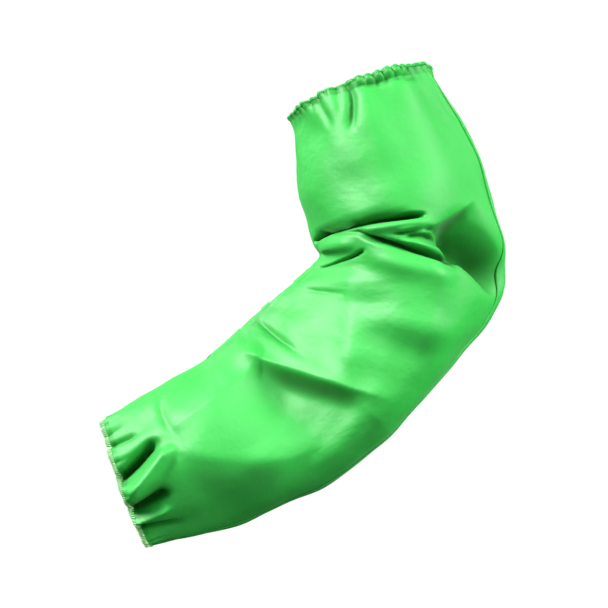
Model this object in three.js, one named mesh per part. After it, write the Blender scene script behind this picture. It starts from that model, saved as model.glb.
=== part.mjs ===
// Flame-resistant work sleeve in the shape it has on a bent left arm: one cotton panel rolled into a slack
// tube, gathered by an elastic hem at the upper arm and another at the wrist, and closed by a felled seam on
// its outer side. Millimetres, +Z up, seen from -Y. The origin is the centre of the opening at the upper arm.
// A place on the cloth is (along, turn): along is millimetres from the upper hem's edge, measured on the outer
// side, and turn is degrees round the arm, 0 at the outer side, 90 in front, 180 at the inside of the elbow
// and 270 behind.
import * as THREE from "three";

// Cloth
const SLEEVE_LENGTH = 456;
const WALL = 1.2;
const GIRTH = 400;

// Hems and seam
const UPPER_HEM = 8;
const WRIST_HEM = 6;
const HEM_PROUD = 0.6;
const SEAM_PROUD = 0.9;
const SEAM_GAP = 0.3;
const HEM_GAP = 0.9;

// Facets: columns round the arm, and bands of rows along it, closer together where the cloth is creased.
// Round the elbow the rows bend towards the wrist on the inside of the arm, as the creases do.
const COLUMNS = 60;
const SEAM_COLUMN = 1;
const ROW_BANDS = [
  { end: 46, rows: 4 },
  { end: 98, rows: 4 },
  { end: 156, rows: 14 },
  { end: 250, rows: 6 },
  { end: 318, rows: 7 },
  { end: 404, rows: 4 },
  { end: SLEEVE_LENGTH - WRIST_HEM - HEM_GAP, rows: 4 },
];
const ROW_BEND = { depth: 38, start: 20, full: 105, ease: 150, end: 330, round: 1.5 };

// Slope step for the surface normals
const STEP = 0.5;

// Cross sections: the tube's inner and outer edge as seen from the front, the depth of its middle line,
// half its thickness from front to back, the degrees that its front leans towards the shoulder,
// and how far the outer and the inner side are drawn to an edge: below 0 square, 0 round, 1 a wedge
const SQUAREST = -0.6;
const SECTIONS = [
  {
    along: 0, innerX: -44.8, innerZ: -16.5, outerX: 44.8, outerZ: 16.5,
    midY: 0, depth: 47, lean: 10, outerEdge: 0, innerEdge: 0,
  },
  {
    along: 22, innerX: -42.2, innerZ: -27.4, outerX: 56.9, outerZ: -2.4,
    midY: -3, depth: 53, lean: 9, outerEdge: 0.2, innerEdge: 0.1,
  },
  {
    along: 56, innerX: -41.6, innerZ: -47.9, outerX: 72.3, outerZ: -32.5,
    midY: -7, depth: 58, lean: 8, outerEdge: 0.4, innerEdge: 0.2,
  },
  {
    along: 85, innerX: -40.3, innerZ: -67.1, outerX: 84.5, outerZ: -59.4,
    midY: -11, depth: 60, lean: 7, outerEdge: 0.45, innerEdge: 0.25,
  },
  {
    along: 116, innerX: -34.6, innerZ: -86.3, outerX: 92.1, outerZ: -88.8,
    midY: -15, depth: 60, lean: 6, outerEdge: 0.4, innerEdge: 0.25,
  },
  {
    along: 142, innerX: -29.5, innerZ: -100.3, outerX: 96.0, outerZ: -114.4,
    midY: -18, depth: 59, lean: 5, outerEdge: 0.35, innerEdge: 0.25,
  },
  {
    along: 158, innerX: -25.6, innerZ: -107.4, outerX: 94.1, outerZ: -131.1,
    midY: -20, depth: 58, lean: 4, outerEdge: 0.25, innerEdge: 0.35,
  },
  {
    along: 180, innerX: -31.4, innerZ: -114.4, outerX: 83.8, outerZ: -150.3,
    midY: -22, depth: 58, lean: 3, outerEdge: 0, innerEdge: 0.55,
  },
  {
    along: 212, innerX: -43.5, innerZ: -125.9, outerX: 64.0, outerZ: -174.6,
    midY: -24, depth: 57, lean: 2, outerEdge: -0.3, innerEdge: 0.8,
  },
  {
    along: 250, innerX: -57.6, innerZ: -137.5, outerX: 39.7, outerZ: -204.0,
    midY: -26, depth: 56, lean: 0, outerEdge: -0.5, innerEdge: 0.9,
  },
  {
    along: 289, innerX: -72.3, innerZ: -150.3, outerX: 11.5, outerZ: -230.9,
    midY: -28, depth: 55, lean: -1, outerEdge: -0.5, innerEdge: 0.95,
  },
  {
    along: 329, innerX: -87.1, innerZ: -164.3, outerX: -19.9, outerZ: -256.5,
    midY: -30, depth: 53, lean: -2, outerEdge: -0.3, innerEdge: 1.0,
  },
  {
    along: 370, innerX: -106.3, innerZ: -179.7, outerX: -56.3, outerZ: -275.7,
    midY: -33, depth: 49, lean: -3, outerEdge: 0.1, innerEdge: 0.9,
  },
  {
    along: 404, innerX: -128.0, innerZ: -191.9, outerX: -88.3, outerZ: -286.6,
    midY: -36, depth: 44, lean: -4, outerEdge: 0.3, innerEdge: 0.6,
  },
  {
    along: 433, innerX: -148.5, innerZ: -203.4, outerX: -116.5, outerZ: -293.6,
    midY: -38, depth: 38, lean: -5, outerEdge: 0.15, innerEdge: 0.2,
  },
  {
    along: 456, innerX: -168.3, innerZ: -216.2, outerX: -138.9, outerZ: -298.1,
    midY: -40, depth: 32, lean: -6, outerEdge: 0, innerEdge: 0,
  },
];

// Folds: a line on the cloth from (along, turn) to (toAlong, toTurn), bowed towards the wrist in its middle.
// Height is positive for a ridge and negative for a crease, width is its half width, fade is the share of the
// line over which each end dies away, and power is 2 for a round fold and lower for a sharper one.
const FOLDS = [
  // Pleats below the upper hem
  { along: -3, turn: 94, toAlong: 48, toTurn: 111, bow: 0, height: -4.5, width: 5, fade: 0.3, power: 1.6 },
  { along: -3, turn: 128, toAlong: 42, toTurn: 120, bow: 0, height: -3.5, width: 5, fade: 0.3, power: 1.6 },
  { along: -3, turn: 230, toAlong: 42, toTurn: 246, bow: 0, height: -4, width: 5.5, fade: 0.3, power: 1.6 },
  { along: -3, turn: 302, toAlong: 40, toTurn: 318, bow: 0, height: -4, width: 5.5, fade: 0.3, power: 1.6 },
  // Soft hollows of the upper arm
  { along: 87, turn: 150, toAlong: 76, toTurn: 60, bow: 0, height: -3, width: 13, fade: 0.3, power: 2 },
  { along: 56, turn: 222, toAlong: 44, toTurn: 300, bow: 0, height: -2.8, width: 13, fade: 0.35, power: 2 },
  // Elbow, front: main crease, tongue, second crease, lip below it, pit crease and the bulge above it
  { along: 141, turn: 174, toAlong: 115, toTurn: 76, bow: -1, height: -8, width: 5, fade: 0.1, power: 1.5 },
  { along: 131, turn: 122, toAlong: 120, toTurn: 70, bow: 0, height: 2.5, width: 5, fade: 0.25, power: 2 },
  { along: 133, turn: 124, toAlong: 144, toTurn: 52, bow: 6, height: -7.5, width: 5, fade: 0.2, power: 1.5 },
  { along: 152, turn: 128, toAlong: 158, toTurn: 54, bow: 3, height: 3, width: 9, fade: 0.25, power: 2 },
  { along: 184, turn: 161, toAlong: 146, toTurn: 118, bow: 0, height: -4, width: 5, fade: 0.2, power: 1.5 },
  { along: 152, turn: 170, toAlong: 142, toTurn: 124, bow: 0, height: 2.5, width: 6, fade: 0.25, power: 2 },
  // Elbow, outer side: the hollow above its point
  { along: 104, turn: 82, toAlong: 156, toTurn: 4, bow: 2, height: -15, width: 14, fade: 0.45, power: 2 },
  // Elbow, back: main crease, tongue, second crease, pit crease and lower lip
  { along: 141, turn: 186, toAlong: 113, toTurn: 288, bow: -1, height: -8, width: 5, fade: 0.1, power: 1.5 },
  { along: 126, turn: 246, toAlong: 120, toTurn: 292, bow: 0, height: 2.5, width: 5, fade: 0.25, power: 2 },
  { along: 132, turn: 234, toAlong: 146, toTurn: 312, bow: 5, height: -7, width: 5, fade: 0.2, power: 1.5 },
  { along: 184, turn: 199, toAlong: 146, toTurn: 242, bow: 0, height: -4, width: 5, fade: 0.2, power: 1.5 },
  { along: 141, turn: 238, toAlong: 154, toTurn: 310, bow: 5, height: 3, width: 5.5, fade: 0.22, power: 2 },
  // Forearm below the elbow, front and back: soft hollows with a low crest between them
  { along: 172, turn: 136, toAlong: 188, toTurn: 54, bow: -3, height: -2.2, width: 11, fade: 0.3, power: 2 },
  { along: 207, turn: 106, toAlong: 203, toTurn: 30, bow: 0, height: 1.2, width: 11, fade: 0.3, power: 2 },
  { along: 228, turn: 100, toAlong: 220, toTurn: 28, bow: 0, height: -2, width: 12, fade: 0.3, power: 2 },
  { along: 172, turn: 224, toAlong: 180, toTurn: 300, bow: 0, height: -4, width: 11, fade: 0.3, power: 2 },
  { along: 214, turn: 256, toAlong: 230, toTurn: 322, bow: 3, height: -5, width: 13, fade: 0.3, power: 2 },
  // Forearm, front and back: edges of its flats
  { along: 168, turn: 130, toAlong: 272, toTurn: 75, bow: 0, height: 5, width: 18, fade: 0.2, power: 1.15 },
  { along: 296, turn: 130, toAlong: 412, toTurn: 115, bow: 0, height: 5, width: 16, fade: 0.2, power: 1.1 },
  { along: 428, turn: 110, toAlong: 318, toTurn: 46, bow: 0, height: 5, width: 18, fade: 0.2, power: 1.15 },
  { along: 280, turn: 176, toAlong: 276, toTurn: 100, bow: 2, height: -3, width: 5, fade: 0.35, power: 1.6 },
  { along: 172, turn: 232, toAlong: 264, toTurn: 284, bow: 0, height: 4, width: 16, fade: 0.2, power: 1.2 },
  { along: 300, turn: 230, toAlong: 410, toTurn: 246, bow: 0, height: 4, width: 16, fade: 0.2, power: 1.2 },
  { along: 428, turn: 262, toAlong: 330, toTurn: 328, bow: 0, height: 4, width: 15, fade: 0.25, power: 1.3 },
  // Creases and pleats above the wrist hem
  { along: 407, turn: 156, toAlong: 405, toTurn: 106, bow: 6, height: -3.5, width: 5, fade: 0.3, power: 1.6 },
  { along: 461, turn: 87, toAlong: 422, toTurn: 114, bow: 2, height: -8, width: 5, fade: 0.25, power: 1.7 },
  { along: 462, turn: 66, toAlong: 416, toTurn: 107, bow: 0, height: 5, width: 5, fade: 0.25, power: 2 },
  { along: 462, turn: 62, toAlong: 424, toTurn: 74, bow: 0, height: -7, width: 4.5, fade: 0.25, power: 1.7 },
  { along: 462, turn: 46, toAlong: 424, toTurn: 38, bow: 0, height: -4.5, width: 5, fade: 0.25, power: 1.7 },
  { along: 462, turn: 216, toAlong: 428, toTurn: 224, bow: 0, height: -4, width: 5, fade: 0.25, power: 1.6 },
  { along: 462, turn: 252, toAlong: 422, toTurn: 268, bow: 0, height: -5, width: 5, fade: 0.25, power: 1.6 },
  { along: 462, turn: 287, toAlong: 428, toTurn: 300, bow: 0, height: -4.5, width: 5, fade: 0.25, power: 1.6 },
  { along: 462, turn: 322, toAlong: 426, toTurn: 332, bow: 0, height: -4, width: 5, fade: 0.25, power: 1.6 },
];

// Tucks: a fold whose lip hangs over a hollow on its wristward side, along a line given as for the folds.
// Lip is the height of its edge, drop the depth of the hollow, and width the distance from one to the other,
// negative where the hollow is on the shoulderward side.
const TUCKS = [
  // Elbow: the hollow's upper edge, and its lower edge in front and behind
  { along: 126, turn: 78, toAlong: 103, toTurn: 41, bow: 0, lip: 0.6, drop: 4, width: 10, fade: 0.35 },
  { along: 126, turn: 88, toAlong: 170, toTurn: 8, bow: 4.5, lip: 1.5, drop: 7, width: -10, fade: 0.4 },
  { along: 130, turn: 288, toAlong: 168, toTurn: 350, bow: 4, lip: 2.5, drop: 7, width: -10, fade: 0.3 },
  // The long dark folds of the forearm, front and back
  { along: 344, turn: 143, toAlong: 247, toTurn: 55, bow: 2, lip: 1, drop: 11, width: 20, fade: 0.45 },
  { along: 270, turn: 100, toAlong: 277, toTurn: 10, bow: 0, lip: 0.8, drop: 4, width: 22, fade: 0.45 },
  { along: 318, turn: 226, toAlong: 282, toTurn: 330, bow: -8, lip: 3, drop: 5, width: 12, fade: 0.25 },
];

// Gathers drawn up by each elastic: waves round the arm that die away from the hem
const GATHERS = [
  { edge: 0, waves: 12, height: 1.4, reach: 26, wander: 0.8, phase: 0.4 },
  { edge: SLEEVE_LENGTH, waves: 11, height: 1.8, reach: 32, wander: 0.7, phase: 1.9 },
];

const COTTON = { color: 0x3fbf5a, roughness: 0.75, metalness: 0 };

// Value of one column of the section table at a place along the sleeve, by a smooth cubic through the rows
function columnAt(column, along) {
  const last = SECTIONS.length - 2;
  let i = SECTIONS.findIndex((row) => row.along > along) - 1;
  i = i === -2 ? last : Math.max(i, 0);
  const [p, q] = [SECTIONS[i], SECTIONS[i + 1]];
  const before = SECTIONS[Math.max(i - 1, 0)];
  const after = SECTIONS[Math.min(i + 2, SECTIONS.length - 1)];
  const span = q.along - p.along;
  const startSlope = ((q[column] - before[column]) / (q.along - before.along)) * span;
  const endSlope = ((after[column] - p[column]) / (after.along - p.along)) * span;
  const t = (along - p.along) / span;
  const t2 = t * t;
  const t3 = t2 * t;
  return (
    (2 * t3 - 3 * t2 + 1) * p[column] +
    (t3 - 2 * t2 + t) * startSlope +
    (3 * t2 - 2 * t3) * q[column] +
    (t3 - t2) * endSlope
  );
}

// Point of the plain tube, before folds and gathers
function tubePoint(along, turn) {
  const inner = new THREE.Vector3(columnAt("innerX", along), 0, columnAt("innerZ", along));
  const outer = new THREE.Vector3(columnAt("outerX", along), 0, columnAt("outerZ", along));
  const angle = THREE.MathUtils.degToRad(turn);
  const lean = THREE.MathUtils.degToRad(columnAt("lean", along));
  const halfWidth = outer.clone().sub(inner).multiplyScalar(0.5);
  const shoulderward = new THREE.Vector3(-halfWidth.z, 0, halfWidth.x).normalize();
  const front = new THREE.Vector3(0, -Math.cos(lean), 0).addScaledVector(shoulderward, Math.sin(lean));
  const middle = inner.add(outer).multiplyScalar(0.5).setY(columnAt("midY", along));
  return middle
    .addScaledVector(halfWidth, Math.cos(angle))
    .addScaledVector(front, columnAt("depth", along) * bulgeAt(along, angle));
}

// Share of the depth that the front panel stands forward, or the back panel backward as a negative share
function bulgeAt(along, angle) {
  const outer = 1 + Math.max(columnAt("outerEdge", along), SQUAREST);
  const inner = 1 + Math.max(columnAt("innerEdge", along), SQUAREST);
  const sum = outer + inner;
  const largest = Math.sqrt((outer / sum) ** outer * (inner / sum) ** inner);
  const share = Math.abs(Math.sin(angle / 2)) ** outer * Math.abs(Math.cos(angle / 2)) ** inner;
  return (Math.sign(Math.sin(angle)) * share) / largest;
}

// Outward normal of a surface given as a function of (along, turn)
function normalOf(surface, along, turn) {
  const turnStep = (STEP / GIRTH) * 360;
  const alongSlope = surface(along + STEP, turn).sub(surface(along - STEP, turn));
  const turnSlope = surface(along, turn + turnStep).sub(surface(along, turn - turnStep));
  return turnSlope.cross(alongSlope).normalize();
}

// Distance of a place from a fold's line, positive towards the wrist, and the fold's share left near its ends
function lineFrame(line, along, turn) {
  const { smoothstep } = THREE.MathUtils;
  const toMm = GIRTH / 360;
  const run = (line.toTurn - line.turn) * toMm;
  const rise = line.toAlong - line.along;
  const length = Math.hypot(run, rise);
  const across = (turn - line.turn) * toMm;
  const down = along - line.along;
  const t = THREE.MathUtils.clamp((across * run + down * rise) / (length * length), 0, 1);
  const bowed = down - 4 * line.bow * t * (1 - t);
  const distance = ((bowed * run - across * rise) / length) * Math.sign(run);
  return { distance, ends: smoothstep(t, 0, line.fade) * smoothstep(1 - t, 0, line.fade) };
}

// Height that one fold adds at a place on the cloth
function foldHeight(fold, along, turn) {
  const { distance, ends } = lineFrame(fold, along, turn);
  return fold.height * ends * Math.exp(-(Math.abs(distance / fold.width) ** fold.power));
}

// Height that one tuck adds at a place on the cloth
function tuckHeight(tuck, along, turn) {
  const { distance, ends } = lineFrame(tuck, along, turn);
  const lip = Math.exp(-((distance / tuck.width) ** 2));
  const below = Math.max(distance / tuck.width, 0);
  return ends * (tuck.lip * lip - tuck.drop * below * Math.exp(1 - below));
}

// Height that one hem's gathers add, with crests of uneven spacing
function gatherHeight(gather, along, turn) {
  const angle = THREE.MathUtils.degToRad(turn);
  const wave = gather.waves * angle + gather.phase + gather.wander * Math.sin(3 * angle + gather.phase);
  const away = Math.abs(along - gather.edge) / gather.reach;
  return gather.height * Math.cos(wave) * Math.exp(-away * away);
}

// Point on the outer face of the cloth
function clothPoint(along, turn) {
  const place = ((turn % 360) + 360) % 360;
  let height = 0;
  for (const fold of FOLDS) {
    height += foldHeight(fold, along, place);
  }
  for (const tuck of TUCKS) {
    height += tuckHeight(tuck, along, place);
  }
  for (const gather of GATHERS) {
    height += gatherHeight(gather, along, place);
  }
  return tubePoint(along, turn).addScaledVector(normalOf(tubePoint, along, turn), height);
}

// Point offset from the outer face of the cloth, outwards where proud is positive.
// The direction may be taken from another place along, so that two edges that meet stay parallel.
function offsetPoint(along, turn, proud, directionAlong = along) {
  return clothPoint(along, turn).addScaledVector(normalOf(clothPoint, directionAlong, turn), proud);
}

// Rows of the body from the upper hem to the wrist hem
function bodyRows() {
  const rows = [UPPER_HEM + HEM_GAP];
  for (const band of ROW_BANDS) {
    const start = rows[rows.length - 1];
    for (let i = 1; i <= band.rows; i += 1) {
      rows.push(start + ((band.end - start) * i) / band.rows);
    }
  }
  return rows;
}

function columnTurn(column) {
  return (column * 360) / COLUMNS;
}

// Place along the sleeve where a row of facets crosses a turn round the arm
function rowAlong(row, turn) {
  const { depth, start, full, ease, end, round } = ROW_BEND;
  const { smoothstep, degToRad } = THREE.MathUtils;
  const inside = ((1 - Math.cos(degToRad(turn))) / 2) ** round;
  return row + depth * inside * smoothstep(row, start, full) * (1 - smoothstep(row, ease, end));
}

// Stretch of a row of facets, offset from the outer face of the cloth
function rowPoints(row, proud, columns, directionRow = row) {
  return columns.map((column) => {
    const turn = columnTurn(column);
    return offsetPoint(rowAlong(row, turn), turn, proud, rowAlong(directionRow, turn));
  });
}

// Whether the facet from (row, column) to the next ones lies closer to the cloth when cut from its first corner
function cutFromFirst(row, nextRow, column) {
  const corner = (r, c) => clothPoint(rowAlong(r, columnTurn(c)), columnTurn(c));
  const middleTurn = columnTurn(column + 0.5);
  const middle = clothPoint(rowAlong((row + nextRow) / 2, middleTurn), middleTurn);
  const first = corner(row, column).add(corner(nextRow, column + 1)).multiplyScalar(0.5);
  const second = corner(row, column + 1).add(corner(nextRow, column)).multiplyScalar(0.5);
  return first.distanceTo(middle) <= second.distanceTo(middle);
}

// Closed solid between an outer and an inner grid of points: a ring round the arm, or a strip with long sides
function wallGeometry(outside, inside, closedRound, cut) {
  const rows = outside.length;
  const columns = outside[0].length;
  const outer = (i, j) => i * columns + (j % columns);
  const inner = (i, j) => (rows + i) * columns + (j % columns);
  const indices = [];
  const quad = (a, b, c, d) => indices.push(a, b, c, a, c, d);
  const steps = closedRound ? columns : columns - 1;
  for (let i = 0; i < rows - 1; i += 1) {
    for (let j = 0; j < steps; j += 1) {
      if (cut(i, j)) {
        quad(outer(i, j), outer(i, j + 1), outer(i + 1, j + 1), outer(i + 1, j));
        quad(inner(i, j), inner(i + 1, j), inner(i + 1, j + 1), inner(i, j + 1));
      } else {
        quad(outer(i, j + 1), outer(i + 1, j + 1), outer(i + 1, j), outer(i, j));
        quad(inner(i, j + 1), inner(i, j), inner(i + 1, j), inner(i + 1, j + 1));
      }
    }
    if (!closedRound) {
      quad(outer(i, 0), outer(i + 1, 0), inner(i + 1, 0), inner(i, 0));
      quad(outer(i + 1, steps), outer(i, steps), inner(i, steps), inner(i + 1, steps));
    }
  }
  for (let j = 0; j < steps; j += 1) {
    quad(outer(0, j + 1), outer(0, j), inner(0, j), inner(0, j + 1));
    quad(outer(rows - 1, j), outer(rows - 1, j + 1), inner(rows - 1, j + 1), inner(rows - 1, j));
  }
  const positions = [...outside, ...inside].flat().flatMap((point) => point.toArray());
  const geometry = new THREE.BufferGeometry();
  geometry.setAttribute("position", new THREE.Float32BufferAttribute(positions, 3));
  geometry.setIndex(indices);
  geometry.computeVertexNormals();
  return geometry;
}

const ALL_ROUND = Array.from({ length: COLUMNS }, (_, column) => column);

function bodyGeometry() {
  const rows = bodyRows();
  const outside = rows.map((row) => rowPoints(row, 0, ALL_ROUND));
  const inside = rows.map((row) => rowPoints(row, -WALL, ALL_ROUND));
  return wallGeometry(outside, inside, true, (i, j) => cutFromFirst(rows[i], rows[i + 1], j));
}

// Hem between two places along, with its edge that meets the body parallel to the body's own edge
function hemGeometry(start, end) {
  const bodyEnd = (place) => (place === start ? start - HEM_GAP : end + HEM_GAP);
  const atEdge = (place) => place === 0 || place === SLEEVE_LENGTH;
  const layer = (proud) =>
    [start, end].map((place) => rowPoints(place, proud, ALL_ROUND, atEdge(place) ? place : bodyEnd(place)));
  return wallGeometry(layer(HEM_PROUD), layer(-WALL - HEM_PROUD), true, () => true);
}

function seamGeometry() {
  const rows = bodyRows();
  const layer = (proud) => rows.map((row) => rowPoints(row, proud, [SEAM_COLUMN, SEAM_COLUMN + 1]));
  const cut = (i) => cutFromFirst(rows[i], rows[i + 1], SEAM_COLUMN);
  return wallGeometry(layer(SEAM_GAP + SEAM_PROUD), layer(SEAM_GAP), false, cut);
}

function addPiece(group, name, geometry) {
  const mesh = new THREE.Mesh(geometry, new THREE.MeshStandardMaterial(COTTON));
  mesh.name = name;
  group.add(mesh);
}

const sleeve = new THREE.Group();
addPiece(sleeve, "sleeve_body", bodyGeometry());
addPiece(sleeve, "upper_hem", hemGeometry(0, UPPER_HEM));
addPiece(sleeve, "wrist_hem", hemGeometry(SLEEVE_LENGTH - WRIST_HEM, SLEEVE_LENGTH));
addPiece(sleeve, "long_seam", seamGeometry());

export default sleeve;
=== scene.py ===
"""Flame-resistant work sleeve: green cotton sateen, gathered elastic hems, felled seam and stitching.

A place on the cloth is (along, turn): along is millimetres from the upper hem's edge, measured on the
outer side of the arm, and turn is degrees round the arm, 0 at the outer side, 90 in front and 180 at
the inside of the elbow.
"""
import math
from collections import namedtuple

import bpy
import numpy as np
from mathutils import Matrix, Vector


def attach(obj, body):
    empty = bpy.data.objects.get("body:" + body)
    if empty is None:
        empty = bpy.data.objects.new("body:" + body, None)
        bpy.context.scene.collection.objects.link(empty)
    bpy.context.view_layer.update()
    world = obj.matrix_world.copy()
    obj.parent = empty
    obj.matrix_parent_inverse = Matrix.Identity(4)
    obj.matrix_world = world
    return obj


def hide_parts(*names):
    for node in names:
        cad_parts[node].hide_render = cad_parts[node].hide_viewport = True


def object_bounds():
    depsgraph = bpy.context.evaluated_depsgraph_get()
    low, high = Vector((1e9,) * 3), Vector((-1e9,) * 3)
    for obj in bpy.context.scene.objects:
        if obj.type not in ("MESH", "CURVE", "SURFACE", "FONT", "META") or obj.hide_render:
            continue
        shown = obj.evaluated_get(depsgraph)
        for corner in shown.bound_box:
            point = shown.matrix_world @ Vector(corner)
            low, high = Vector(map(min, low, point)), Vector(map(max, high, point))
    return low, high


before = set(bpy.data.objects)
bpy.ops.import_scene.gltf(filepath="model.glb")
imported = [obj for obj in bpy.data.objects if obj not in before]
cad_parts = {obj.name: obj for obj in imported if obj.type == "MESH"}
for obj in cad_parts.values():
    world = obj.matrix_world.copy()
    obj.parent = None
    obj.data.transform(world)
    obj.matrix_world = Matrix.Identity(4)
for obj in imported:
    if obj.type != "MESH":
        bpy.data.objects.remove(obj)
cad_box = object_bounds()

MM = 0.001

# Cloth sizes in millimetres
SLEEVE_LENGTH = 456
GIRTH = 400
WALL = 0.9

# Distance in millimetres over which the slope of a surface is taken
SLOPE_STEP = 0.4

# Hems: the piece and the node that it stands for, the place of the sewn edge, the band's width,
# which way the sleeve lies from the edge, and the number of overlock loops round it
Hem = namedtuple("Hem", "name node edge width inward loops")
HEMS = [
    Hem("upper_hem_cloth", "upper_hem", 0, 8, 1, 330),
    Hem("wrist_hem_cloth", "wrist_hem", SLEEVE_LENGTH, 6, -1, 270),
]
HEM_THICKNESS = 1.9

# The band's profile from its inner end over the face to the edge and back on the inside:
# share of the width from the edge, and height over the cloth in millimetres
HemPoint = namedtuple("HemPoint", "share height")
HEM_PROFILE = [
    HemPoint(1, 0),
    HemPoint(0.85, 0.02),
    HemPoint(0.65, 0.12),
    HemPoint(0.45, 0.30),
    HemPoint(0.25, 0.45),
    HemPoint(0.10, 0.50),
    HemPoint(0.02, 0.20),
    HemPoint(0, -0.45),
    HemPoint(0.02, -1.10),
    HemPoint(0.10, -1.40),
    HemPoint(0.25, -1.35),
    HemPoint(0.45, -1.25),
    HemPoint(0.65, -1.10),
    HemPoint(0.85, -0.95),
    HemPoint(1, -0.9),
]

# Felled seam on the outer side: its middle, width and thickness, its steps along the sleeve, and its shoulder
# as a share of half the width
SEAM_TURN = 9.0
SEAM_WIDTH = 6.6
SEAM_THICKNESS = 1.1
SEAM_STEPS = 300
SEAM_SHOULDER = 0.92

# The seam's heights as shares of its thickness: edge, shoulder, groove under a row of stitches,
# crown between the rows, and base sunk into the cloth
SeamRise = namedtuple("SeamRise", "edge shoulder groove crown base")
SEAM_RISE = SeamRise(0.35, 0.85, 0.62, 0.95, -0.2)

# Topstitching: the rows' offsets from the seam's middle, the stitches' length and pitch,
# and the heights along one stitch as shares of the seam's thickness
STITCH_ROWS = (-2.1, 2.1)
STITCH_LENGTH = 2.6
STITCH_PITCH = 3.5
STITCH_RISE = (-0.1, 0.5, 0.65, 0.65, 0.5, -0.1)

# Threads in millimetres, and the share of its pitch that an overlock loop slants along the hem
THREAD_SIDES = 6
THREAD_RADIUS = 0.22
OVERLOCK_RADIUS = 0.26
OVERLOCK_REACH = 2.6
OVERLOCK_SLANT = 0.9

# One overlock loop from the hem's face round its edge to its inside: distance in from the edge
# as a share of the reach, and height from the hem's middle as a share of half its thickness
LoopPoint = namedtuple("LoopPoint", "reach height")
OVERLOCK_LOOP = [
    LoopPoint(1.0, 0.9),
    LoopPoint(0.72, 1.0),
    LoopPoint(0.42, 1.0),
    LoopPoint(0.14, 0.9),
    LoopPoint(-0.10, 0.4),
    LoopPoint(-0.14, -0.4),
    LoopPoint(0.06, -0.95),
    LoopPoint(0.40, -1.0),
    LoopPoint(0.8, -0.95),
]

# Grid of the body: columns round the arm, and bands of rows along it, each up to its end
COLUMNS = 312
Band = namedtuple("Band", "end rows")
ROW_BANDS = [
    Band(46, 20),
    Band(100, 10),
    Band(154, 60),
    Band(190, 16),
    Band(250, 14),
    Band(322, 40),
    Band(404, 16),
    Band(450, 20),
]

# The inner face keeps all the rows of the creased stretch, and elsewhere rows this far apart
CREASED_ROWS = (98, 156)
INNER_STEP = 5.3

# Rows bend towards the wrist on the inner side, as the elbow's creases do: how deep, the rows
# where that starts, is full, eases and ends, and how narrow the bend is round the arm
RowBend = namedtuple("RowBend", "depth start full ease end narrow")
ROW_BEND = RowBend(38, 20, 105, 150, 330, 1.5)

# Cross sections: the tube's inner and outer edge seen from the front, the depth of its middle line,
# half its thickness from front to back, the degrees that its front leans towards the shoulder,
# and how far the outer and the inner side are drawn to an edge: below 0 square, 0 round, 1 a wedge
SQUAREST = -0.6
Section = namedtuple(
    "Section", "along inner_x inner_z outer_x outer_z mid_y depth lean outer_edge inner_edge"
)
SECTIONS = [
    Section(0, -44.8, -16.5, 44.8, 16.5, 0, 47, 10, 0, 0),
    Section(22, -42.2, -27.4, 56.9, -2.4, -3, 53, 9, 0.2, 0.1),
    Section(56, -41.6, -47.9, 72.3, -32.5, -7, 58, 8, 0.4, 0.2),
    Section(85, -40.3, -67.1, 84.5, -59.4, -11, 60, 7, 0.45, 0.25),
    Section(116, -34.6, -86.3, 92.1, -88.8, -15, 60, 6, 0.4, 0.25),
    Section(142, -29.5, -100.3, 96.0, -114.4, -18, 59, 5, 0.35, 0.25),
    Section(158, -25.6, -107.4, 94.1, -131.1, -20, 58, 4, 0.25, 0.35),
    Section(180, -31.4, -114.4, 83.8, -150.3, -22, 58, 3, 0.0, 0.55),
    Section(212, -43.5, -125.9, 64.0, -174.6, -24, 57, 2, -0.3, 0.8),
    Section(250, -57.6, -137.5, 39.7, -204.0, -26, 56, 0, -0.5, 0.9),
    Section(289, -72.3, -150.3, 11.5, -230.9, -28, 55, -1, -0.5, 0.8),
    Section(329, -87.1, -164.3, -19.9, -256.5, -30, 53, -2, -0.3, 0.7),
    Section(370, -106.3, -179.7, -56.3, -275.7, -33, 49, -3, 0.1, 0.6),
    Section(404, -128.0, -191.9, -88.3, -286.6, -36, 44, -4, 0.3, 0.4),
    Section(433, -148.5, -203.4, -116.5, -293.6, -38, 38, -5, 0.15, 0.2),
    Section(456, -168.3, -216.2, -138.9, -298.1, -40, 32, -6, 0, 0),
]

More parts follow.
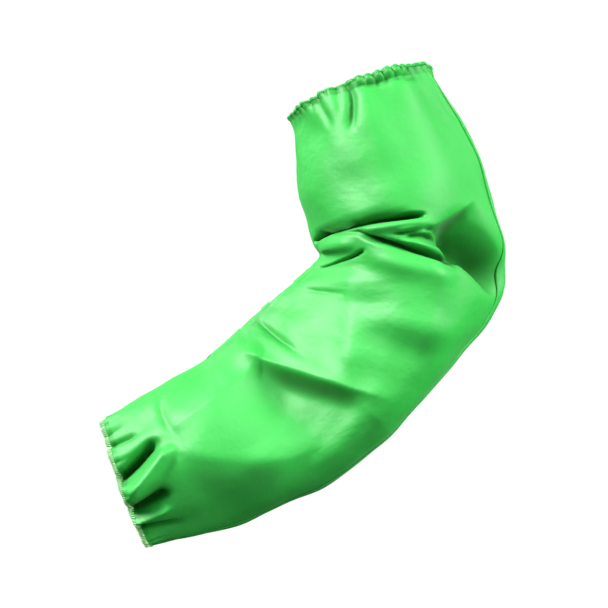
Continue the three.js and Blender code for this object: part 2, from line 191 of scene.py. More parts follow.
# Folds: a line on the cloth from (along, turn) to (to_along, to_turn), bowed towards the wrist in its middle.
# Height is positive for a ridge and negative for a crease, width is its half width, fade is the share
# of the line over which each end dies away, and power is 2 for a round fold, lower for one with
# a sharp middle and higher for a slit with steep sides.
Fold = namedtuple("Fold", "along turn to_along to_turn bow height width fade power", defaults=(2,))
FOLDS = [
    # Pleats below the upper hem
    Fold(-3, 94, 48, 111, 0, -4.2, 3.6, 0.35, 1.8),
    Fold(-3, 108, 32, 114, 0, -1.4, 3.2, 0.4),
    Fold(-3, 130, 42, 122, 0, -2.4, 4, 0.4),
    Fold(-3, 230, 42, 246, 0, -4, 4.5, 0.3, 1.6),
    Fold(-3, 302, 40, 318, 0, -4, 4.5, 0.3, 1.6),
    # Roll of the upper hem in front, and the groove under it
    Fold(4.5, 96, 4.5, 46, 0, 1.8, 3.0, 0.2),
    Fold(9.5, 98, 9.5, 40, 0, -2.8, 2.2, 0.2, 1.5),
    # Elbow, front: the main crease and its wider mouth, upper tongue, slit, lower tongue with its own slit
    Fold(141, 174, 115, 76, -1, -8, 1.8, 0.08, 3),
    Fold(125, 122, 114.6, 77, -1, -5.5, 2.2, 0.3, 3),
    Fold(131, 122, 119.5, 71, 0, 3.6, 4.0, 0.25),
    Fold(133, 101, 124, 72, 0, -4.5, 1.5, 0.2, 3),
    Fold(133, 101, 134, 63, -6, 2.2, 2.0, 0.2),
    Fold(135, 97, 133, 70, -2, -3.6, 1.6, 0.3, 2.6),
    Fold(137.5, 99, 138, 62, 1, 2.0, 2.2, 0.25),
    # Elbow, front: second crease with its forked end, and the lip below it
    Fold(137, 152, 134, 112, -3, -2.6, 2.6, 0.3),
    Fold(133, 124, 144, 52, 6, -10, 2.7, 0.18, 2.4),
    Fold(147, 76, 152, 56, 0, -2.6, 2.2, 0.4),
    Fold(152, 128, 158, 54, 3, 3.0, 9, 0.25),
    # Elbow, front: pit crease and the bulge above it
    Fold(184, 161, 146, 118, 0, -3.8, 1.8, 0.25, 2.4),
    Fold(152, 170, 142, 124, 0, 2.5, 6, 0.25),
    # Elbow, outer side: the hollow above its point
    Fold(118, 70, 158, 4, 2, -14.5, 13, 0.35),
    # Elbow, back: main crease, tongue, second crease, pit crease, lower lip
    Fold(141, 186, 113, 288, -1, -8, 2.2, 0.1, 2.6),
    Fold(126, 246, 120, 292, 0, 2.5, 3.4, 0.25),
    Fold(132, 234, 146, 312, 5, -8, 2.8, 0.2, 2.4),
    Fold(184, 199, 146, 242, 0, -5, 2.0, 0.2, 2.6),
    Fold(141, 238, 154, 310, 5, 2.5, 5, 0.22),
    # Soft hollows of the upper arm and of the forearm below the elbow
    Fold(88, 154, 74, 60, 0, -2.4, 17, 0.35),
    Fold(56, 222, 44, 300, 0, -2.8, 13, 0.35),
    Fold(172, 136, 188, 54, -3, -1.3, 11, 0.3),
    Fold(207, 106, 203, 30, 0, 1.2, 11, 0.3),
    Fold(228, 100, 220, 28, 0, -2.8, 12, 0.3),
    Fold(172, 224, 180, 300, 0, -4, 11, 0.3),
    Fold(214, 256, 230, 322, 3, -5, 13, 0.3),
    # Forearm, front: edges of its flats, and the fine creases in them
    Fold(168, 130, 272, 75, 0, 5, 18, 0.2, 1.15),
    Fold(296, 130, 412, 115, 0, 5, 16, 0.2, 1.1),
    Fold(428, 110, 318, 46, 0, 4, 20, 0.3, 1.2),
    Fold(281, 168, 276, 100, 2, -3.0, 4, 0.4, 1.6),
    Fold(217, 150, 200, 112, 0, -1.2, 2.8, 0.35),
    Fold(296, 131, 326, 117, 0, -1.0, 4, 0.35, 1.6),
    # Forearm, back: edges of its flats
    Fold(172, 232, 264, 284, 0, 4, 16, 0.2, 1.2),
    Fold(300, 230, 410, 246, 0, 4, 16, 0.2, 1.2),
    Fold(428, 262, 330, 328, 0, 4, 15, 0.25, 1.3),
    # Creases and pleats above the wrist hem
    Fold(407, 156, 405, 106, 6, -1.8, 2.8, 0.35, 1.7),
    Fold(459, 90, 420, 115, 2, -10, 4.4, 0.25),
    Fold(459, 73, 408, 106, 2, 8.5, 5.0, 0.25),
    Fold(459, 63, 424, 76, 0, -9, 3.8, 0.25),
    Fold(459, 54, 428, 61, 0, 4.5, 3.0, 0.25),
    Fold(459, 45, 424, 38, 0, -4.5, 4, 0.25, 1.7),
    Fold(459, 129, 432, 125, 0, -3.5, 3.2, 0.3, 1.6),
    Fold(459, 217, 428, 224, 0, -4, 4.5, 0.25, 1.6),
    Fold(459, 253, 422, 268, 0, -5, 4.5, 0.25, 1.6),
    Fold(459, 288, 428, 300, 0, -4.5, 4.5, 0.25, 1.6),
    Fold(459, 323, 426, 332, 0, -4, 4.5, 0.25, 1.6),
]

# Tucks: a fold whose lip hangs over a hollow on its wristward side, along a line given as for the folds.
# Lip is the height of its edge, drop the depth of the hollow, and width the distance from one to the other,
# negative where the hollow is on the shoulderward side. Spread is how much more slowly the hollow runs out.
Tuck = namedtuple("Tuck", "along turn to_along to_turn bow lip drop width fade spread", defaults=(1,))
TUCKS = [
    # Elbow: the two upper edges of the hollow above its point, and its lower edge, front and back
    Tuck(134, 92, 98, 33, 0, 0.6, 10, 12, 0.3),
    Tuck(98, 54, 146, 4, 0, 0.3, 3.5, 15, 0.4),
    Tuck(126, 88, 170, 8, 4.5, 1.5, 7, -10, 0.4),
    Tuck(130, 288, 168, 350, 4, 2.5, 7, -10, 0.3),
    # The long dark folds of the forearm, front and back
    Tuck(332, 147, 258, 41, -10, 1.2, 15, 17, 0.42, 1.8),
    Tuck(274, 92, 277, 10, 0, 0.6, 3, 22, 0.45),
    Tuck(322, 212, 276, 344, -8, 2, 5, 14, 0.45),
]

# Gathers drawn up by each elastic: waves round the arm that die away from the hem, broad ones
# and fine puckers. A sharp gather has round crests and narrow grooves. Wander shifts its waves.
Gather = namedtuple("Gather", "edge waves height reach wander phase sharp")
GATHERS = [
    Gather(0, 12, 1.4, 26, 0.8, 0.4, False),
    Gather(0, 43, 1.9, 8, 1.7, 2.1, True),
    Gather(SLEEVE_LENGTH, 11, 1.8, 32, 0.7, 1.9, False),
    Gather(SLEEVE_LENGTH, 34, 1.1, 12, 1.5, 0.6, True),
]
WANDER_WAVES = 3

# Puckers: the power that rounds their crests, and how much and how often their height varies round the arm
PUCKER_POWER = 0.8
PUCKER_VARIATION = 0.3
PUCKER_VARIATION_WAVES = 5

# Slight unevenness of the worn cloth: a few long waves in seeded directions, with their lengths
# in millimetres, their slope, and the degrees on each side of a sharp inner edge where they die away
RIPPLE_SEED = 11
RIPPLE_WAVES = 14
RIPPLE_LENGTHS = (24, 80)
RIPPLE_SLOPE = 0.0055
RIPPLE_CALM = 16

# Painted shade in the folds: half width in millimetres of the widest crease that is painted as dark as its
# depth, wider ones paler, and how dark and how narrow the painted shadow under the lip of a tuck is
PAINTED_SHADE_WIDTH = 11
LIP_SHADE = 1.3
LIP_SHADE_NARROWING = 3

# Camera: the photograph's viewpoint, turned to the sleeve and brought to fill the frame
CAMERA_DISTANCE = 4.0
CAMERA_AZIMUTH = 0.0
CAMERA_ELEVATION = 0.5
FRAME_WIDTH = 0.40
SENSOR = 36.0

# A stretch of values, and the values that it is mapped to
Range = namedtuple("Range", "low high to_low to_high", defaults=(0, 1))

# Stage: the floor's distance below the sleeve, its size and where it fades out, in metres, and its finish
FLOOR_CLEARANCE = 0.12
FLOOR_RADIUS = 6.0
FLOOR_SIDES = 96
FLOOR_FADE = Range(0.5, 1.6)
FLOOR_COLOUR = (0.72, 0.72, 0.72, 1)
FLOOR_ROUGHNESS = 0.9
FLOOR_GLOSS = 0.1

# Surroundings: their brightness where they are seen directly, and as light on the sleeve
BACKDROP = 0.86
AMBIENT = 0.07
WHITE = (1, 1, 1, 1)

# Soft lights: offset from the sleeve's middle and size in metres, power in watts, and whether they gleam
Light = namedtuple("Light", "name offset size power gloss")
LIGHTS = [
    Light("left_light", (-1.65, -1.0, 1.55), 0.8, 150, True),
    Light("right_light", (1.9, -0.8, 1.1), 0.8, 58, True),
    Light("right_soft_light", (1.9, -0.8, 1.1), 0.8, 48, False),
    Light("front_light", (0.2, -2.2, 0.2), 0.8, 12, False),
    Light("rim_light", (2.1, 0.5, 0.2), 0.8, 12, False),
    Light("bounce_light", (0.3, -1.0, -1.8), 1.4, 19, False),
    Light("back_left_light", (-1.5, 1.7, 0.9), 1.0, 60, False),
    Light("back_right_light", (1.2, 1.9, 1.0), 1.0, 50, False),
]

# Colours of the cotton, from the painted shade at a crease's bottom through the dye to a worn crest,
# and of the threads
COTTON_PAINTED_SHADE = (0.002, 0.084, 0.005, 1)
COTTON_DEEP = (0.008, 0.190, 0.018, 1)
COTTON_MID = (0.013, 0.256, 0.030, 1)
COTTON_WORN = (0.023, 0.300, 0.046, 1)
THREAD_GREEN = (0.030, 0.300, 0.055, 1)
THREAD_PALE = (0.26, 0.50, 0.24, 1)
THREAD_PALEST = (0.40, 0.62, 0.36, 1)

# Noise over the cloth in metres: its stretch round and along the arm, scale, detail and seed
Noise = namedtuple("Noise", "stretch scale detail seed")
MOTTLE = Noise((1, 1), 22, 3, 0.3)
WARP_SLUB = Noise((1500, 40), 1, 2, 1.7)
WEFT_SLUB = Noise((30, 1300), 1, 2, 5.1)
CRUMPLE = Noise((1, 1), 75, 2.5, 2.9)
TWIST = Noise((1, 1), 1800, 2, 0.4)

# Bumps: strength, and height in metres
Bump = namedtuple("Bump", "strength height")
WEAVE_BUMP = Bump(0.3, 0.0002)
CRUMPLE_BUMP = Bump(0.3, 0.002)
TWIST_BUMP = Bump(0.4, 0.0001)

# Diagonal weave, and its share beside the slubs
TWILL_SCALE = 1000
TWILL_DISTORTION = 0.8
TWILL_SHARE = 0.5

# Uneven dye: the mottle's share, the slubs' tone beside it, and the tones that run from deep to mid green
MOTTLE_SHARE = 0.7
SLUB_TONE = Range(0.6, 1.4, -0.22, 0.22)
DYE_TONE = Range(0.1, 0.7)

# Heights of the folds in millimetres over which crests turn worn, which also paints light on ridges and keeps
# hollows darker as painted shade, and over which creases turn dark with painted shade
WEAR_AND_PAINTED_LIGHT_ON_CRESTS = Range(-7, 5)
PAINTED_CREASE_SHADE = Range(-2, -12)

# Finish of the cotton, rougher in its creases, and of the threads
SLUB_ROUGHNESS = Range(0.6, 1.4, 0.54, 0.63)
CREASE_DULLING = 0.4
COTTON_GLOSS = 0.74
COTTON_SHEEN = 0.08
COTTON_SHEEN_ROUGHNESS = 0.4
COTTON_SHEEN_TINT = (0.75, 1.0, 0.78, 1)
THREAD_ROUGHNESS = 0.6
THREAD_SHEEN = 0.2


def smoothstep(x, low, high):
    t = np.clip((x - low) / (high - low), 0, 1)
    return t * t * (3 - 2 * t)


def column_at(name, along):
    """Value of one column of the section table, by a smooth cubic through the rows."""
    knots = np.array([row.along for row in SECTIONS], float)
    values = np.array([getattr(row, name) for row in SECTIONS], float)
    slopes = np.empty_like(values)
    slopes[1:-1] = (values[2:] - values[:-2]) / (knots[2:] - knots[:-2])
    slopes[0] = (values[1] - values[0]) / (knots[1] - knots[0])
    slopes[-1] = (values[-1] - values[-2]) / (knots[-1] - knots[-2])
    i = np.clip(np.searchsorted(knots, along, side="right") - 1, 0, len(knots) - 2)
    span = knots[i + 1] - knots[i]
    t = (along - knots[i]) / span
    return (
        (2 * t**3 - 3 * t**2 + 1) * values[i]
        + (t**3 - 2 * t**2 + t) * slopes[i] * span
        + (3 * t**2 - 2 * t**3) * values[i + 1]
        + (t**3 - t**2) * slopes[i + 1] * span
    )


def bulge(along, angle):
    """Share of the depth that the front or back panel stands forward, largest between the two edges."""
    outer = 1 + np.maximum(column_at("outer_edge", along), SQUAREST)
    inner = 1 + np.maximum(column_at("inner_edge", along), SQUAREST)
    outer_share, inner_share = outer / (outer + inner), inner / (outer + inner)
    largest = np.sqrt(outer_share**outer * inner_share**inner)
    return np.abs(np.sin(angle / 2)) ** outer * np.abs(np.cos(angle / 2)) ** inner / largest


def tube(along, turn):
    """Points of the plain tube in millimetres, before folds and gathers."""
    inner_x, inner_z = column_at("inner_x", along), column_at("inner_z", along)
    outer_x, outer_z = column_at("outer_x", along), column_at("outer_z", along)
    half_x, half_z = (outer_x - inner_x) / 2, (outer_z - inner_z) / 2
    half = np.hypot(half_x, half_z)
    lean = np.radians(column_at("lean", along))
    angle = np.radians(turn)
    forward = column_at("depth", along) * bulge(along, angle) * np.sign(np.sin(angle))
    shoulderward = forward * np.sin(lean) / half
    x = (inner_x + outer_x) / 2 + half_x * np.cos(angle) - half_z * shoulderward
    y = column_at("mid_y", along) - forward * np.cos(lean)
    z = (inner_z + outer_z) / 2 + half_z * np.cos(angle) + half_x * shoulderward
    return np.stack([x, y, z], axis=-1)


def normal_of(surface, along, turn):
    turn_step = SLOPE_STEP / GIRTH * 360
    down = surface(along + SLOPE_STEP, turn) - surface(along - SLOPE_STEP, turn)
    round_arm = surface(along, turn + turn_step) - surface(along, turn - turn_step)
    normal = np.cross(round_arm, down)
    return normal / np.linalg.norm(normal, axis=-1, keepdims=True)


def line_frame(line, along, turn):
    """Distance from a fold's line, positive towards the wrist, and its strength between its ends."""
    to_mm = GIRTH / 360
    run = (line.to_turn - line.turn) * to_mm
    rise = line.to_along - line.along
    length = math.hypot(run, rise)
    across = (turn - line.turn) * to_mm
    down = along - line.along
    share = np.clip((across * run + down * rise) / length**2, 0, 1)
    bowed = down - 4 * line.bow * share * (1 - share)
    wristward = math.copysign(1 / length, run)
    distance = (bowed * run - across * rise) * wristward
    strength = smoothstep(share, 0, line.fade) * smoothstep(1 - share, 0, line.fade)
    return distance, strength


def fold_height(fold, along, turn):
    distance, strength = line_frame(fold, along, turn)
    return fold.height * (strength * np.exp(-(np.abs(distance / fold.width) ** fold.power)))


def tuck_height(tuck, along, turn):
    distance, strength = line_frame(tuck, along, turn)
    lip = np.exp(-((distance / tuck.width) ** 2))
    below = np.maximum(distance / tuck.width, 0)
    below = np.where(below > 1, 1 + (below - 1) / tuck.spread, below)
    hollow = below * np.exp(1 - below)
    return strength * (tuck.lip * lip - tuck.drop * hollow)


def gather_height(gather, along, turn):
    angle = np.radians(turn)
    wave = gather.waves * angle + gather.phase + gather.wander * np.sin(WANDER_WAVES * angle + gather.phase)
    if gather.sharp:
        variation = PUCKER_VARIATION * np.sin(PUCKER_VARIATION_WAVES * angle + gather.phase)
        crest = 2 * np.abs(np.cos(wave / 2)) ** PUCKER_POWER - 1
        crest = crest * (1 - PUCKER_VARIATION + variation)
    else:
        crest = np.cos(wave)
    away = (along - gather.edge) / gather.reach
    return gather.height * crest * np.exp(-away * away)


def ripple_height(along, turn):
    """Slight unevenness of the worn cloth, none where the inner side is drawn to an edge."""
    draw = np.random.default_rng(RIPPLE_SEED)
    height = 0
    for length in np.linspace(*RIPPLE_LENGTHS, RIPPLE_WAVES):
        direction = draw.uniform(0, math.pi)
        waves_round = round(GIRTH / length * math.cos(direction))
        waves_down = math.sin(direction) / length
        phase = draw.uniform(0, 2 * math.pi)
        wave = np.radians(turn) * waves_round + along * waves_down * 2 * math.pi + phase
        height = height + RIPPLE_SLOPE * length * np.sin(wave)
    sharpness = np.clip(column_at("inner_edge", along), 0, 1)
    return height * (1 - sharpness * np.exp(-(((turn - 180) / RIPPLE_CALM) ** 2)))


def relief(along, turn):
    """Height of folds, tucks, gathers and ripples over the plain tube."""
    place = np.mod(turn, 360)
    folds = sum(fold_height(fold, along, place) for fold in FOLDS)
    tucks = sum(tuck_height(tuck, along, place) for tuck in TUCKS)
    gathers = sum(gather_height(gather, along, place) for gather in GATHERS)
    return folds + tucks + gathers + ripple_height(along, place)


def cloth(along, turn):
    """Points of the cloth's outer face in millimetres."""
    return tube(along, turn) + normal_of(tube, along, turn) * relief(along, turn)[..., None]


def shade_depth(along, turn):
    """Depth that colours the cotton: paler worn crests, and painted shade in folds and under a tuck's lip."""
    place = np.mod(turn, 360)
    depth = 0
    # Painted shade in folds, as dark as their depth for narrow ones and paler for wide ones
    for fold in FOLDS:
        shade_share = min(1, PAINTED_SHADE_WIDTH / fold.width) if fold.height < 0 else 1
        depth = depth + shade_share * fold_height(fold, along, place)
    # Painted shadow close under the lip of each tuck
    for tuck in TUCKS:
        distance, strength = line_frame(tuck, along, place)
        below = np.maximum(distance / tuck.width, 0)
        shade = np.exp(LIP_SHADE - below - LIP_SHADE_NARROWING * below**2)
        depth = depth - tuck.drop * strength * below * shade
    return depth + sum(gather_height(gather, along, place) for gather in GATHERS)


def cloth_map(along, turn):
    """The cloth's own coordinates in millimetres, round the arm and along it."""
    return np.stack([turn / 360 * GIRTH, along], axis=-1)


def link_mesh(name, points, faces, uv):
    """Smooth mesh object from points in millimetres, with their UV coordinates in metres."""
    mesh = bpy.data.meshes.new(name)
    mesh.from_pydata((points * MM).tolist(), [], faces)
    layer = mesh.uv_layers.new(name="cloth")
    loop_vertex = np.empty(len(mesh.loops), dtype=np.int32)
    mesh.loops.foreach_get("vertex_index", loop_vertex)
    loop_uv = uv[loop_vertex] * MM
    # Faces that cross the start of the turn run on past the girth, so that the weave isn't squeezed into them
    starts = np.empty(len(mesh.polygons), dtype=np.int32)
    mesh.polygons.foreach_get("loop_start", starts)
    largest = np.maximum.reduceat(loop_uv[:, 0], starts)
    sizes = np.diff(np.append(starts, len(loop_uv)))
    wrapped = np.repeat(largest, sizes) - loop_uv[:, 0] > GIRTH * MM / 2
    loop_uv[:, 0] += wrapped * GIRTH * MM
    layer.data.foreach_set("uv", loop_uv.reshape(-1))
    mesh.polygons.foreach_set("use_smooth", np.ones(len(mesh.polygons), dtype=bool))
    piece = bpy.data.objects.new(name, mesh)
    bpy.context.scene.collection.objects.link(piece)
    return piece


def ring_grid_faces(rows, columns, closed_rows):
    """Quads of a grid that closes round its columns, and also round its rows where closed_rows is true."""
    row_quads = rows if closed_rows else rows - 1
    i, j = np.meshgrid(np.arange(row_quads), np.arange(columns), indexing="ij")
    row_start, next_row_start = i * columns, (i + 1) % rows * columns
    next_j = (j + 1) % columns
    corners = [row_start + j, row_start + next_j, next_row_start + next_j, next_row_start + j]
    return np.stack(corners, axis=-1).reshape(-1, 4).tolist()


def add_attribute(piece, name, values):
    attribute = piece.data.attributes.new(name, "FLOAT", "POINT")
    attribute.data.foreach_set("value", np.asarray(values, dtype=np.float32).reshape(-1))


def sharpen_rings(piece, columns, rings):
    """Crisp edges along some rings of a grid, so that the faces on either side are shaded apart."""
    mesh = piece.data
    ends = np.empty(2 * len(mesh.edges), dtype=np.int32)
    mesh.edges.foreach_get("vertices", ends)
    first, second = ends.reshape(-1, 2).T // columns
    sharp = mesh.attributes.new("sharp_edge", "BOOLEAN", "EDGE")
    sharp.data.foreach_set("value", (first == second) & np.isin(first, rings))


def row_along(row, turn):
    """Place along the sleeve where a row of the grid crosses a turn round the arm."""
    inside = ((1 - np.cos(np.radians(turn))) / 2) ** ROW_BEND.narrow
    rise = smoothstep(row, ROW_BEND.start, ROW_BEND.full)
    fall = 1 - smoothstep(row, ROW_BEND.ease, ROW_BEND.end)
    return row + ROW_BEND.depth * inside * rise * fall


def body_rows():
    rows = [float(HEMS[0].width)]
    for band in ROW_BANDS:
        rows.extend(np.linspace(rows[-1], band.end, band.rows + 1)[1:])
    return np.array(rows)


def inner_rows(rows):
    """Rows that the inner face keeps: all where the cloth is creased, and a few elsewhere."""
    kept = [0]
    for k in range(1, len(rows)):
        creased = CREASED_ROWS[0] < rows[k] < CREASED_ROWS[1]
        if creased or rows[k] - rows[kept[-1]] >= INNER_STEP or k == len(rows) - 1:
            kept.append(k)
    return np.array(kept)


def build_body():
    """The slack tube between the hems, with an outer and an inner face."""
    rows = body_rows()
    turns = np.arange(COLUMNS) * 360 / COLUMNS
    row_grid, turn_grid = np.meshgrid(rows, turns, indexing="ij")
    along = row_along(row_grid, turn_grid)
    outside = cloth(along, turn_grid)
    kept = inner_rows(rows)
    inside = outside[kept] - normal_of(cloth, along[kept], turn_grid[kept]) * WALL
    points = np.concatenate([outside, inside[::-1]])
    uv = cloth_map(along, turn_grid)
    uv = np.concatenate([uv, uv[kept][::-1]])
    faces = ring_grid_faces(len(points), COLUMNS, True)
    piece = link_mesh("sleeve_cloth", points.reshape(-1, 3), faces, uv.reshape(-1, 2))
    sharpen_rings(piece, COLUMNS, (0, len(rows) - 1, len(rows), len(points) - 1))
    # Relief depth kept on the cloth, from which the material paints worn crests and painted shade
    depth = shade_depth(along, turn_grid)
    add_attribute(piece, "crest", np.concatenate([depth, depth[kept][::-1]]))
    return piece


def build_hem(hem):
    """Turned band that runs on from the cloth to a round edge, and follows the gathers."""
    columns = 2 * COLUMNS
    share = np.array([point.share for point in HEM_PROFILE])
    height = np.array([point.height for point in HEM_PROFILE])
    place = hem.edge + hem.inward * hem.width * share
    turns = np.arange(columns) * 360 / columns
    along, turn = np.meshgrid(place, turns, indexing="ij")
    points = cloth(along, turn) + normal_of(cloth, along, turn) * height[:, None, None]
    faces = ring_grid_faces(len(place), columns, True)
    if hem.inward > 0:
        faces = [face[::-1] for face in faces]
    piece = link_mesh(hem.name, points.reshape(-1, 3), faces, cloth_map(along, turn).reshape(-1, 2))
    sharpen_rings(piece, columns, (0, len(place) - 1))
    add_attribute(piece, "crest", shade_depth(along, turn))
    return piece


def build_seam():
    """Felled strip along the outer side, with a groove under each row of stitches."""
    half = SEAM_WIDTH / 2
    shoulder = SEAM_SHOULDER * half
    first_row, second_row = STITCH_ROWS
    face = [-half, -shoulder, first_row, 0, second_row, shoulder, half]
    across = np.array([*face, half, 0, -half])
    rise = SEAM_RISE
    face_heights = [rise.edge, rise.shoulder, rise.groove, rise.crown, rise.groove, rise.shoulder, rise.edge]
    heights = np.array([*face_heights, rise.base, rise.base, rise.base]) * SEAM_THICKNESS
    length = SLEEVE_LENGTH - HEMS[0].width - HEMS[1].width
    rows = HEMS[0].width + np.linspace(0, length, SEAM_STEPS)
    along, turn = np.meshgrid(rows, SEAM_TURN + across / GIRTH * 360, indexing="ij")
    points = cloth(along, turn) + normal_of(cloth, along, turn) * heights[None, :, None]
    faces = [quad[::-1] for quad in ring_grid_faces(len(rows), len(across), False)]
    upper_end = list(range(len(across)))
    wrist_end = [(len(rows) - 1) * len(across) + k for k in reversed(upper_end)]
    faces += [upper_end, wrist_end]
    piece = link_mesh("seam_cloth", points.reshape(-1, 3), faces, cloth_map(along, turn).reshape(-1, 2))
    add_attribute(piece, "crest", shade_depth(along, turn))
    return piece


def thread_mesh(name, paths, normals, radius):
    """Joined tubes of thread, one for each path, with paths and normals as (threads, points, 3)."""
    threads, steps = paths.shape[:2]
    forward = np.gradient(paths, axis=1)
    forward /= np.linalg.norm(forward, axis=-1, keepdims=True)
    side = np.cross(forward, normals)
    side /= np.linalg.norm(side, axis=-1, keepdims=True)
    up = np.cross(side, forward)
    angle = np.arange(THREAD_SIDES) * 2 * math.pi / THREAD_SIDES
    ring = side[:, :, None] * np.cos(angle)[:, None] + up[:, :, None] * np.sin(angle)[:, None]
    points = (paths[:, :, None] + radius * ring).reshape(-1, 3)
    size = steps * THREAD_SIDES
    start_cap = list(reversed(range(THREAD_SIDES)))
    end_cap = list(range(size - THREAD_SIDES, size))
    thread = [*ring_grid_faces(steps, THREAD_SIDES, False), start_cap, end_cap]
    faces = [[corner + k * size for corner in face] for k in range(threads) for face in thread]
    return link_mesh(name, points, faces, points[:, :2])


def build_seam_stitches():
    """Two rows of topstitching that dip into the seam at both ends of each stitch."""
    first = HEMS[0].width + STITCH_PITCH
    starts = np.arange(first, SLEEVE_LENGTH - HEMS[1].width - STITCH_PITCH, STITCH_PITCH)
    share = np.linspace(0, 1, len(STITCH_RISE))
    lift = np.array(STITCH_RISE) * SEAM_THICKNESS
    along = np.concatenate([starts[:, None] + share * STITCH_LENGTH] * len(STITCH_ROWS))
    across = np.repeat(STITCH_ROWS, len(starts))[:, None]
    turn = SEAM_TURN + across / GIRTH * 360 + 0 * along
    normals = normal_of(cloth, along, turn)
    return thread_mesh("seam_stitches", cloth(along, turn) + normals * lift[:, None], normals, THREAD_RADIUS)


def build_overlock(hem):
    """Overlock threads that wrap the hem's edge from its face to its inside."""
    reach = np.array([point.reach for point in OVERLOCK_LOOP]) * OVERLOCK_REACH
    half = HEM_THICKNESS / 2 + OVERLOCK_RADIUS
    lift = np.array([point.height for point in OVERLOCK_LOOP]) * half - WALL / 2
    pitch = 360 / hem.loops
    slant = np.linspace(0, OVERLOCK_SLANT, len(reach)) * pitch
    turn = np.arange(hem.loops)[:, None] * pitch + slant
    along = hem.edge + hem.inward * reach + 0 * turn
    normals = normal_of(cloth, along, turn)
    paths = cloth(along, turn) + normals * lift[:, None]
    inward = cloth(along + hem.inward, turn) - cloth(along, turn)
    around = np.cross(normals, inward)
    forward = np.gradient(paths, axis=1)
    outward = np.cross(forward, around) * hem.inward
    return thread_mesh(hem.node + "_overlock", paths, outward, OVERLOCK_RADIUS)


def new_material(name):
    """Node material, its node tree and its main shader."""
    material = bpy.data.materials.new(name)
    material.use_nodes = True
    return material, material.node_tree, material.node_tree.nodes["Principled BSDF"]


def feed(tree, socket, value):
    """Set a socket to a plain value, or link it to another socket."""
    if isinstance(value, bpy.types.NodeSocket):
        tree.links.new(value, socket)
    else:
        socket.default_value = value


def mixed(tree, factor, low, high):
    """Colour between two colours or sockets, driven by a factor socket."""
    node = tree.nodes.new("ShaderNodeMix")
    node.data_type = "RGBA"
    tree.links.new(factor, node.inputs["Factor"])
    feed(tree, node.inputs["A"], low)
    feed(tree, node.inputs["B"], high)
    return node.outputs["Result"]


def combined(tree, operation, first, second):
    """Sum or product of two sockets, or of a socket and a number."""
    node = tree.nodes.new("ShaderNodeMath")
    node.operation = operation
    feed(tree, node.inputs[0], first)
    feed(tree, node.inputs[1], second)
    return node.outputs["Value"]


def mapped(tree, source, stretch):
    """Value of a socket carried over from one range to another."""
    node = tree.nodes.new("ShaderNodeMapRange")
    node.inputs["From Min"].default_value = stretch.low
    node.inputs["From Max"].default_value = stretch.high
    node.inputs["To Min"].default_value = stretch.to_low
    node.inputs["To Max"].default_value = stretch.to_high
    tree.links.new(source, node.inputs["Value"])
    return node.outputs["Result"]


def noise_over(tree, source, noise):
    """Noise over the coordinates of a socket."""
    mapping = tree.nodes.new("ShaderNodeMapping")
    mapping.inputs["Scale"].default_value = (*noise.stretch, 1)
    mapping.inputs["Location"].default_value = (noise.seed, noise.seed, 0)
    tree.links.new(source, mapping.inputs["Vector"])
    node = tree.nodes.new("ShaderNodeTexNoise")
    node.inputs["Scale"].default_value = noise.scale
    node.inputs["Detail"].default_value = noise.detail
    tree.links.new(mapping.outputs["Vector"], node.inputs["Vector"])
    return node.outputs["Fac"]


def bumped(tree, bump, height, normal=None):
    """Normal of a surface that a height socket roughens, over another normal if there is one."""
    node = tree.nodes.new("ShaderNodeBump")
    node.inputs["Strength"].default_value = bump.strength
    node.inputs["Distance"].default_value = bump.height
    tree.links.new(height, node.inputs["Height"])
    if normal is not None:
        tree.links.new(normal, node.inputs["Normal"])
    return node.outputs["Normal"]


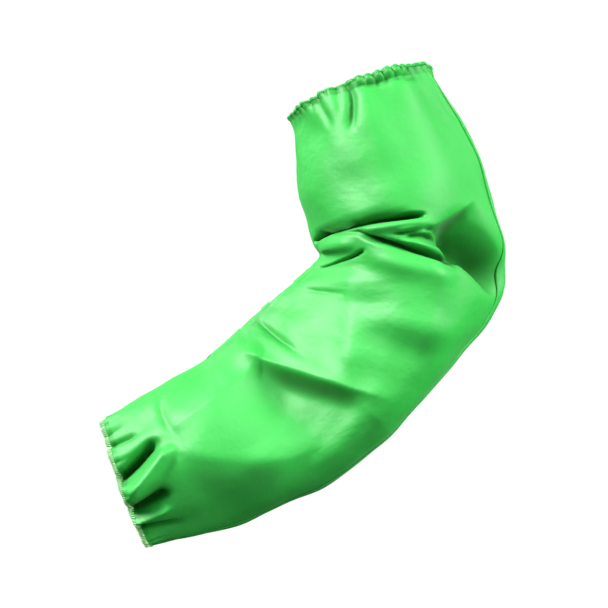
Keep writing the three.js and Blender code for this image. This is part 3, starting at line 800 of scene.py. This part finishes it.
def sateen_material(name, crease, deep, mid, worn):
    """Cotton sateen: fine diagonal weave, slubs both ways, uneven dye, worn crests, painted shade in creases.
    """
    material, tree, shader = new_material(name)
    coordinates = tree.nodes.new("ShaderNodeUVMap")
    coordinates.uv_map = "cloth"
    place = coordinates.outputs["UV"]
    # Depth of the relief, which drives the worn crests and the painted shade
    attribute = tree.nodes.new("ShaderNodeAttribute")
    attribute.attribute_name = "crest"
    crest = attribute.outputs["Fac"]

    slub = combined(tree, "ADD", noise_over(tree, place, WARP_SLUB), noise_over(tree, place, WEFT_SLUB))
    mottle = combined(tree, "MULTIPLY", noise_over(tree, place, MOTTLE), MOTTLE_SHARE)
    tone = combined(tree, "ADD", mottle, mapped(tree, slub, SLUB_TONE))
    dyed = mixed(tree, mapped(tree, tone, DYE_TONE), deep, mid)
    # Paler towards crests as wear, which also paints light on ridges and keeps hollows darker as painted
    # shade
    worn_and_painted_light = mixed(tree, mapped(tree, crest, WEAR_AND_PAINTED_LIGHT_ON_CRESTS), dyed, worn)
    # Painted shade: darker cotton in creases and close under the lips of tucks
    painted_crease_shade = mapped(tree, crest, PAINTED_CREASE_SHADE)
    tree.links.new(mixed(tree, painted_crease_shade, worn_and_painted_light, crease), shader.inputs["Base Color"])

    twill = tree.nodes.new("ShaderNodeTexWave")
    twill.bands_direction = "DIAGONAL"
    twill.inputs["Scale"].default_value = TWILL_SCALE
    twill.inputs["Distortion"].default_value = TWILL_DISTORTION
    tree.links.new(place, twill.inputs["Vector"])
    weave = combined(tree, "ADD", combined(tree, "MULTIPLY", twill.outputs["Fac"], TWILL_SHARE), slub)
    woven = bumped(tree, WEAVE_BUMP, weave)
    crumpled = bumped(tree, CRUMPLE_BUMP, noise_over(tree, place, CRUMPLE), woven)
    tree.links.new(crumpled, shader.inputs["Normal"])

    dulled = combined(tree, "MULTIPLY", painted_crease_shade, CREASE_DULLING)
    roughness = combined(tree, "ADD", mapped(tree, slub, SLUB_ROUGHNESS), dulled)
    tree.links.new(roughness, shader.inputs["Roughness"])
    shader.inputs["Specular IOR Level"].default_value = COTTON_GLOSS
    shader.inputs["Sheen Weight"].default_value = COTTON_SHEEN
    shader.inputs["Sheen Roughness"].default_value = COTTON_SHEEN_ROUGHNESS
    shader.inputs["Sheen Tint"].default_value = COTTON_SHEEN_TINT
    return material


def thread_material(name, colour, pale):
    """Spun thread: a fine twist along each stitch."""
    material, tree, shader = new_material(name)
    coordinates = tree.nodes.new("ShaderNodeTexCoord")
    twist = noise_over(tree, coordinates.outputs["Object"], TWIST)
    tree.links.new(mixed(tree, twist, colour, pale), shader.inputs["Base Color"])
    tree.links.new(bumped(tree, TWIST_BUMP, twist), shader.inputs["Normal"])
    shader.inputs["Roughness"].default_value = THREAD_ROUGHNESS
    shader.inputs["Sheen Weight"].default_value = THREAD_SHEEN
    return material


def floor_material():
    """Pale matt floor that turns clear with the distance from its middle."""
    material, tree, shader = new_material("pale_floor")
    shader.inputs["Base Color"].default_value = FLOOR_COLOUR
    shader.inputs["Roughness"].default_value = FLOOR_ROUGHNESS
    shader.inputs["Specular IOR Level"].default_value = FLOOR_GLOSS
    coordinates = tree.nodes.new("ShaderNodeTexCoord")
    distance = tree.nodes.new("ShaderNodeVectorMath")
    distance.operation = "LENGTH"
    tree.links.new(coordinates.outputs["Object"], distance.inputs[0])
    clear = tree.nodes.new("ShaderNodeBsdfTransparent")
    mix = tree.nodes.new("ShaderNodeMixShader")
    tree.links.new(mapped(tree, distance.outputs["Value"], FLOOR_FADE), mix.inputs["Fac"])
    tree.links.new(shader.outputs["BSDF"], mix.inputs[1])
    tree.links.new(clear.outputs["BSDF"], mix.inputs[2])
    tree.links.new(mix.outputs["Shader"], tree.nodes["Material Output"].inputs["Surface"])
    return material


def make_camera(target):
    data = bpy.data.cameras.new("camera")
    data.sensor_width = SENSOR
    data.lens = SENSOR * CAMERA_DISTANCE / FRAME_WIDTH
    camera = bpy.data.objects.new("camera", data)
    azimuth, elevation = math.radians(CAMERA_AZIMUTH), math.radians(CAMERA_ELEVATION)
    away = Vector((
        math.sin(azimuth) * math.cos(elevation),
        -math.cos(azimuth) * math.cos(elevation),
        math.sin(elevation),
    ))
    camera.location = target + away * CAMERA_DISTANCE
    camera.rotation_euler = (-away).to_track_quat("-Z", "Y").to_euler()
    bpy.context.scene.collection.objects.link(camera)
    bpy.context.scene.camera = camera


def make_stage(low):
    """Pale floor that fades out into the pale surroundings."""
    bpy.ops.mesh.primitive_circle_add(
        vertices=FLOOR_SIDES, radius=FLOOR_RADIUS, fill_type="NGON", location=(0, 0, low)
    )
    floor = bpy.context.object
    floor.name = "floor"
    floor.data.materials.append(floor_material())
    floor.visible_diffuse = False
    floor.visible_shadow = False
    floor.visible_glossy = False


def make_light(light, target):
    data = bpy.data.lights.new(light.name, "AREA")
    data.energy = light.power
    data.size = light.size
    lamp = bpy.data.objects.new(light.name, data)
    lamp.visible_glossy = light.gloss
    lamp.location = target + Vector(light.offset)
    lamp.rotation_euler = (-Vector(light.offset)).to_track_quat("-Z", "Y").to_euler()
    bpy.context.scene.collection.objects.link(lamp)


def make_world():
    """Dim even light from all round, with a pale backdrop where it is seen directly."""
    world = bpy.data.worlds.new("studio")
    world.use_nodes = True
    tree = world.node_tree
    path = tree.nodes.new("ShaderNodeLightPath")
    strength = mapped(tree, path.outputs["Is Camera Ray"], Range(0, 1, AMBIENT, BACKDROP))
    tree.links.new(strength, tree.nodes["Background"].inputs["Strength"])
    tree.nodes["Background"].inputs["Color"].default_value = WHITE
    bpy.context.scene.world = world


def dress(piece, material, slot, *nodes):
    """Give a piece its material and body, and hide the nodes that it stands for; the slot is not used."""
    piece.data.materials.append(material)
    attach(piece, "root")
    if nodes:
        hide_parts(*nodes)
    return piece


# Camera and stage
low_corner, high_corner = (Vector(corner) for corner in cad_box)
centre = (low_corner + high_corner) / 2
make_camera(centre)
make_stage(low_corner.z - FLOOR_CLEARANCE)

# Materials
sateen = sateen_material("green_sateen", COTTON_PAINTED_SHADE, COTTON_DEEP, COTTON_MID, COTTON_WORN)
# The hems' cotton is the same, one step darker throughout as painted shade
hem_sateen_in_painted_shade = sateen_material("hem_sateen_in_painted_shade", COTTON_PAINTED_SHADE, COTTON_PAINTED_SHADE, COTTON_DEEP, COTTON_MID)
green_thread = thread_material("green_thread", THREAD_GREEN, COTTON_WORN)
pale_thread = thread_material("pale_thread", THREAD_PALE, THREAD_PALEST)

# Cloth and threads
body = dress(build_body(), sateen, "sleeve_cloth", "sleeve_body")
hems = [dress(build_hem(hem), hem_sateen_in_painted_shade, "hem_cloth", hem.node) for hem in HEMS]
seam = dress(build_seam(), sateen, "seam_cloth", "long_seam")
stitches = dress(build_seam_stitches(), green_thread, "seam_cloth")
overlock_threads = zip(HEMS, (green_thread, pale_thread))
overlocks = [dress(build_overlock(hem), thread, "hem_cloth") for hem, thread in overlock_threads]

# Light
for light in LIGHTS:
    make_light(light, centre)
make_world()
bpy.context.scene.view_settings.view_transform = "Standard"
bpy.context.scene.view_settings.look = "Medium High Contrast"
